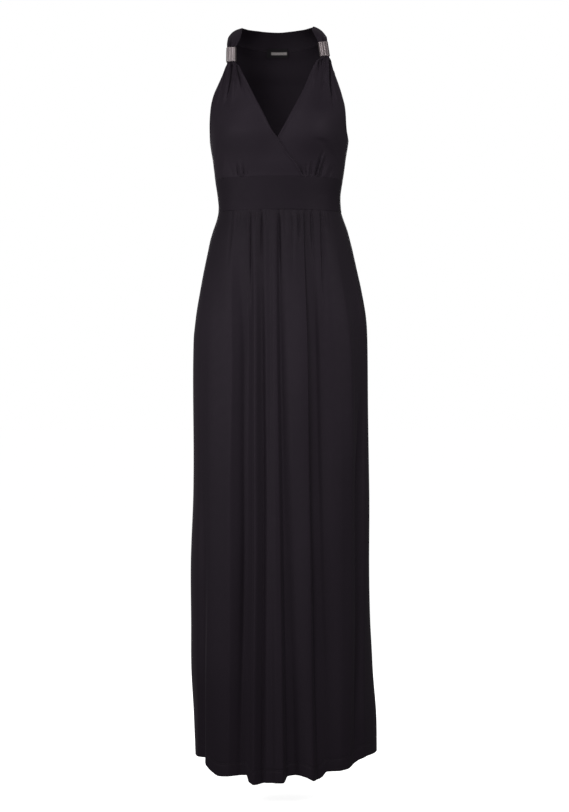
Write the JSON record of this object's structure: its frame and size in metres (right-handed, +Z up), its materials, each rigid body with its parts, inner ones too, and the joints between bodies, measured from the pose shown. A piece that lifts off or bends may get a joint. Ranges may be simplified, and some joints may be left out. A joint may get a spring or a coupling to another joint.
{
  "type": "maxi dress",
  "caption": "Long halter dress with a crossed V front gathered into two metal strap sleeves, a plain waistband and a full-length gathered skirt.",
  "frame": {"origin": "midway between the tops of the neckband at the sides of the neck, where the wearer's neck carries the dress", "axes": "+X the wearer's left, -Y the wearer's front, +Z up from hem to neck"},
  "size_m": [0.3545, 0.2773, 1.42],
  "materials": {
    "jersey": "matt black viscose jersey with a faint soft sheen",
    "label": "plain dark woven satin",
    "pewter": "satin pewter with soft lengthwise flutes"
  },
  "bodies": {
    "root": {"front_bodice_right": "jersey", "front_bodice_left": "jersey", "back_bodice": "jersey", "neckband": "jersey", "waistband_front": "jersey", "waistband_back": "jersey", "skirt_front": "jersey", "skirt_back": "jersey", "neck_label": "label", "strap_sleeve_right": "pewter", "strap_sleeve_left": "pewter"}
  },
  "joints": []
}
